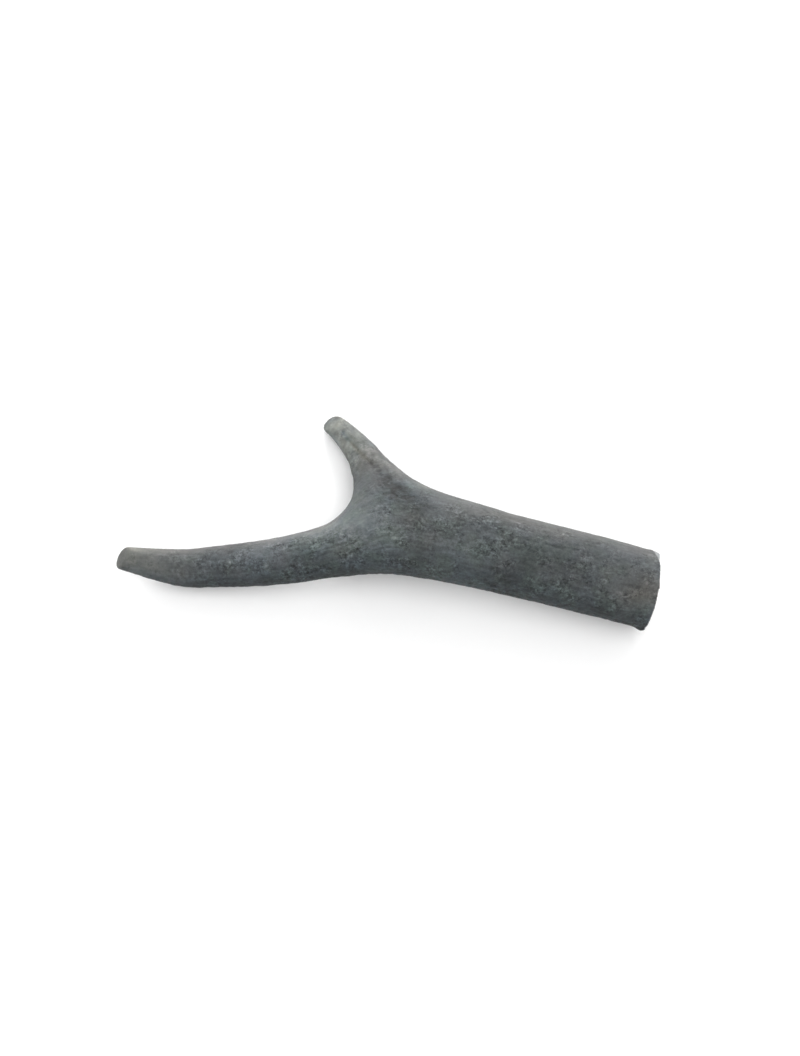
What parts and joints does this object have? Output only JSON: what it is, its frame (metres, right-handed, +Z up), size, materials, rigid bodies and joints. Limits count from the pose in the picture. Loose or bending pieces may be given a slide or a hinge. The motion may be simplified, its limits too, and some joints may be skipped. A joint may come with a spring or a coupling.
{
  "type": "deer antler",
  "caption": "Forked length of deer antler lying flat: a thick beam sawn off square, branching into a long tine and a short tine with worn, obliquely cut tips.",
  "frame": {"origin": "on the surface that the antler lies on, under the middle of its bounding box", "axes": "+X towards the sawn end of the beam, +Z up off the surface; the short tine points towards +Y"},
  "size_m": [0.1796, 0.0796, 0.0273],
  "materials": {
    "beam_bone": "weathered grey-green antler bone, fine grain along the beam, satin",
    "long_tine_bone": "weathered grey antler bone, browner towards the worn tip, satin",
    "short_tine_bone": "pale worn antler bone with a dark gutter along it, satin"
  },
  "bodies": {
    "root": {"main_beam": "beam_bone", "long_tine": "long_tine_bone", "short_tine": "short_tine_bone"}
  },
  "joints": []
}
